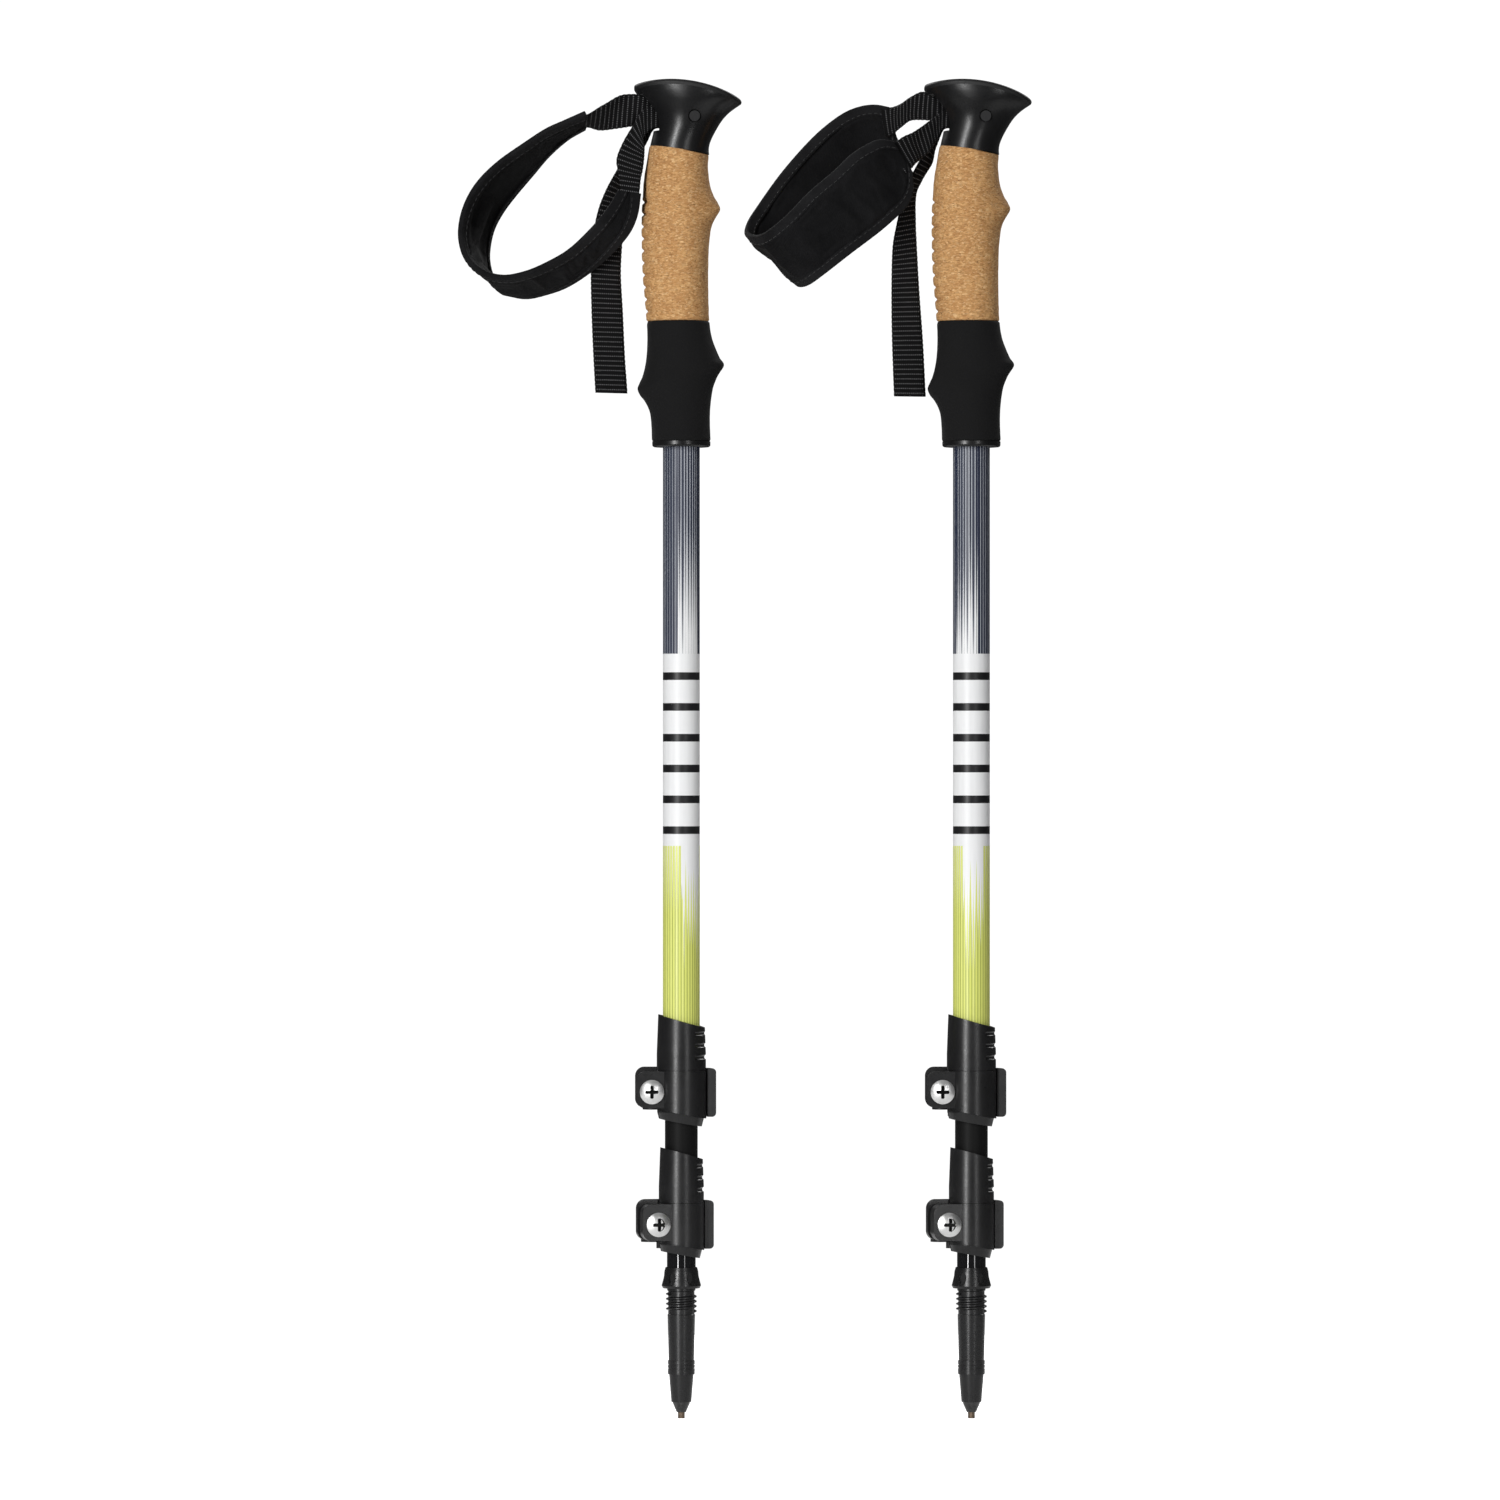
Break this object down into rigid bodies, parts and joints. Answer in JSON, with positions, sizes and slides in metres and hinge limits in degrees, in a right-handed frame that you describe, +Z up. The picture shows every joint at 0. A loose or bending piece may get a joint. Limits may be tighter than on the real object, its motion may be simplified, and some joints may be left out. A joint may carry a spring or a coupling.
{
  "type": "trekking poles",
  "caption": "Pair of telescoping three-section trekking poles with cork grips, padded wrist loops, cam-lever clamps and threaded plastic tips.",
  "frame": {"origin": "on the ground under the middle of the pair", "axes": "+Z up along the poles, +X from the left pole to the right one, +Y away from the clamp screws"},
  "size_m": [0.2796, 0.0524, 0.652],
  "materials": {
    "head_plastic": "black moulded plastic, satin",
    "cork": "pressed cork with fine light and dark grains",
    "foam": "matte black EVA foam",
    "webbing": "black ribbed polyester webbing",
    "pad_fabric": "black padded knit with sewn binding",
    "printed_tube": "white lacquer with navy and lime hairlines",
    "satin_black_tube": "satin black anodised",
    "gloss_black_tube": "gloss black anodised",
    "guide_nylon": "grey nylon",
    "clamp_plastic": "black moulded nylon, satin",
    "lever_plastic": "dark grey moulded nylon",
    "screw_chrome": "bright zinc plated steel",
    "barrel_steel": "turned steel",
    "tip_plastic": "black moulded plastic, satin",
    "tip_steel": "dark turned steel",
    "carbide": "sintered carbide"
  },
  "bodies": {
    "left_lower": {"left_lower_tube": "gloss_black_tube", "left_lower_guide": "guide_nylon", "left_tip_body": "tip_plastic", "left_tip_holder": "tip_steel", "left_tip_point": "carbide"},
    "left_middle": {"left_middle_tube": "satin_black_tube", "left_middle_guide": "guide_nylon", "left_lower_clamp_sleeve": "clamp_plastic", "left_lower_clamp_band": "clamp_plastic", "left_lower_clamp_screw": "screw_chrome", "left_lower_clamp_barrel": "barrel_steel"},
    "left_upper": {"left_palm_cap": "head_plastic", "left_grip_head": "head_plastic", "left_cork_grip": "cork", "left_foam_grip": "foam", "left_grip_end_ring": "head_plastic", "left_strap_pin": "head_plastic", "left_strap_fold": "webbing", "left_strap_wedge": "head_plastic", "left_upper_tube": "printed_tube", "left_upper_clamp_sleeve": "clamp_plastic", "left_upper_clamp_band": "clamp_plastic", "left_upper_clamp_screw": "screw_chrome", "left_upper_clamp_barrel": "barrel_steel"},
    "left_strap": {"left_strap_upper_leg": "webbing", "left_strap_lower_leg": "webbing", "left_strap_tail": "webbing", "left_wrist_pad": "pad_fabric"},
    "left_upper_lever": {"left_upper_clamp_lever": "lever_plastic"},
    "left_lower_lever": {"left_lower_clamp_lever": "lever_plastic"},
    "right_lower": {"right_lower_tube": "gloss_black_tube", "right_lower_guide": "guide_nylon", "right_tip_body": "tip_plastic", "right_tip_holder": "tip_steel", "right_tip_point": "carbide"},
    "right_middle": {"right_middle_tube": "satin_black_tube", "right_middle_guide": "guide_nylon", "right_lower_clamp_sleeve": "clamp_plastic", "right_lower_clamp_band": "clamp_plastic", "right_lower_clamp_screw": "screw_chrome", "right_lower_clamp_barrel": "barrel_steel"},
    "right_upper": {"right_palm_cap": "head_plastic", "right_grip_head": "head_plastic", "right_cork_grip": "cork", "right_foam_grip": "foam", "right_grip_end_ring": "head_plastic", "right_strap_pin": "head_plastic", "right_strap_fold": "webbing", "right_strap_wedge": "head_plastic", "right_upper_tube": "printed_tube", "right_upper_clamp_sleeve": "clamp_plastic", "right_upper_clamp_band": "clamp_plastic", "right_upper_clamp_screw": "screw_chrome", "right_upper_clamp_barrel": "barrel_steel"},
    "right_strap": {"right_strap_upper_leg": "webbing", "right_strap_lower_leg": "webbing", "right_strap_tail": "webbing", "right_wrist_pad": "pad_fabric"},
    "right_upper_lever": {"right_upper_clamp_lever": "lever_plastic"},
    "right_lower_lever": {"right_lower_clamp_lever": "lever_plastic"}
  },
  "joints": [
    {"name": "left_middle_slide", "type": "slide", "parent": "left_lower", "child": "left_middle", "axis": [0, 0, 1], "range_m": [0, 0.35]},
    {"name": "left_upper_slide", "type": "slide", "parent": "left_middle", "child": "left_upper", "axis": [0, 0, 1], "range_m": [0, 0.35]},
    {"name": "left_upper_lever_pivot", "type": "hinge", "parent": "left_upper", "child": "left_upper_lever", "pos_m": [-0.0477, 0.0105, 0.1594], "axis": [0, 0, 1], "range_deg": [0, 120]},
    {"name": "left_lower_lever_pivot", "type": "hinge", "parent": "left_middle", "child": "left_lower_lever", "pos_m": [-0.04859, 0.00753, 0.0949], "axis": [0, 0, 1], "range_deg": [0, 120]},
    {"name": "left_strap_swing", "type": "hinge", "parent": "left_upper", "child": "left_strap", "pos_m": [-0.0505, 0, 0.636], "axis": [0, 0, 1], "range_deg": [-15, 15]},
    {"name": "right_pole_lift", "type": "slide", "parent": "left_lower", "child": "right_lower", "axis": [0, 0, 1], "range_m": [0, 0.7]},
    {"name": "right_middle_slide", "type": "slide", "parent": "right_lower", "child": "right_middle", "axis": [0, 0, 1], "range_m": [0, 0.35]},
    {"name": "right_upper_slide", "type": "slide", "parent": "right_middle", "child": "right_upper", "axis": [0, 0, 1], "range_m": [0, 0.35]},
    {"name": "right_upper_lever_pivot", "type": "hinge", "parent": "right_upper", "child": "right_upper_lever", "pos_m": [0.0938, 0.0105, 0.1594], "axis": [0, 0, 1], "range_deg": [0, 120]},
    {"name": "right_lower_lever_pivot", "type": "hinge", "parent": "right_middle", "child": "right_lower_lever", "pos_m": [0.09291, 0.00753, 0.0949], "axis": [0, 0, 1], "range_deg": [0, 120]},
    {"name": "right_strap_swing", "type": "hinge", "parent": "right_upper", "child": "right_strap", "pos_m": [0.091, 0, 0.636], "axis": [0, 0, 1], "range_deg": [-15, 15]}
  ]
}
